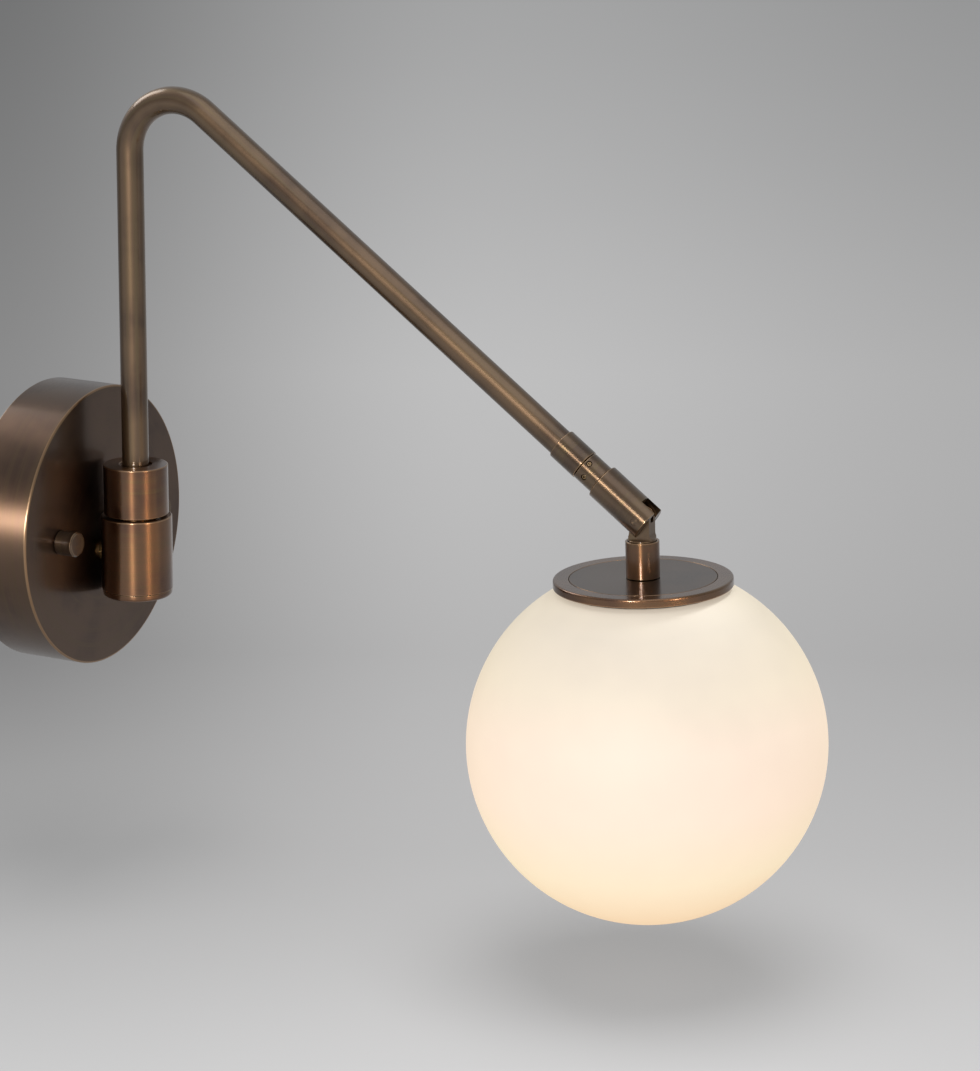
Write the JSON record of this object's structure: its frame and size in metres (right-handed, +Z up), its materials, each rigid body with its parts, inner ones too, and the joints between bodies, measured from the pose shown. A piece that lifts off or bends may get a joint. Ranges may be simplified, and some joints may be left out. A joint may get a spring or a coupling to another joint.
{
  "type": "swing arm wall sconce",
  "caption": "Wall light with a round canopy, a bent arm that swings, and an opal glass globe on a knuckle that turns and tilts.",
  "frame": {"origin": "centre of the canopy's back on the wall plane", "axes": "+Z up, +Y into the wall, the arm reaches out along -Y, +X to the right as seen from the room"},
  "size_m": [0.1534, 0.3796, 0.3397],
  "materials": {
    "aged_brass": "aged and turned brass, dark brown with lighter worn edges",
    "plain_brass": "machined, untreated",
    "steel": "zinc plated",
    "green_screw": "green plated",
    "opal_glass": "opal white, satin outside, lit from inside",
    "bulb_glass": "frosted",
    "porcelain": "white, heat resistant",
    "lamp_cap": "bright",
    "cable_black": "satin",
    "lead_brown": "satin",
    "lead_blue": "satin",
    "lead_green": "satin",
    "gasket": "matt"
  },
  "bodies": {
    "wall_mount": {"canopy": "aged_brass", "crossbar": "steel", "canopy_stud_left": "steel", "canopy_stud_right": "steel", "stud_nut_left": "steel", "stud_nut_right": "steel", "thumb_nut_left": "aged_brass", "thumb_nut_right": "aged_brass", "ground_screw": "green_screw", "canopy_nipple": "plain_brass", "nipple_locknut": "plain_brass", "canopy_cable": "cable_black", "lead_live": "lead_brown", "lead_neutral": "lead_blue", "lead_earth": "lead_green", "swivel_base": "aged_brass", "swivel_base_cap": "aged_brass"},
    "arm": {"spindle": "plain_brass", "spindle_nut": "plain_brass", "spring_washer": "steel", "friction_washer": "gasket", "swing_stop_pin": "steel", "swivel_head": "aged_brass", "tube_set_screw": "steel", "arm_tube": "aged_brass", "arm_cable": "cable_black", "arm_sleeve": "aged_brass", "swivel_stud": "plain_brass"},
    "knuckle": {"swivel_neck": "aged_brass", "grub_screw_1": "steel", "grub_screw_2": "steel", "knuckle_barrel": "aged_brass", "pivot_pin_left": "aged_brass", "pivot_pin_right": "aged_brass", "knuckle_cable": "cable_black"},
    "shade": {"knuckle_tongue": "aged_brass", "shade_cap": "aged_brass", "fitter_plate": "aged_brass", "fitter_ring": "aged_brass", "shade_nipple": "plain_brass", "shade_nut": "plain_brass", "globe_gasket": "gasket", "globe_clip_1": "steel", "globe_clip_2": "steel", "globe_clip_3": "steel", "globe": "opal_glass", "lampholder_cap": "porcelain", "lampholder_body": "porcelain", "lampholder_insert": "porcelain", "screw_shell": "plain_brass", "centre_contact": "plain_brass", "shade_cable": "cable_black", "bulb_cap": "lamp_cap", "bulb_glass": "bulb_glass"}
  },
  "joints": [
    {"name": "arm_swing", "type": "hinge", "parent": "wall_mount", "child": "arm", "pos_m": [0, -0.048, 0.00705], "axis": [0, 0, 1], "range_deg": [-80, 80]},
    {"name": "knuckle_turn", "type": "hinge", "parent": "arm", "child": "knuckle", "pos_m": [0, -0.29839, 0.03668], "axis": [0, -0.809, -0.5878], "range_deg": [-170, 170]},
    {"name": "shade_tilt", "type": "hinge", "parent": "knuckle", "child": "shade", "pos_m": [0, -0.29839, 0.03668], "axis": [1, 0, 0], "range_deg": [-111.5, 38.5]}
  ]
}
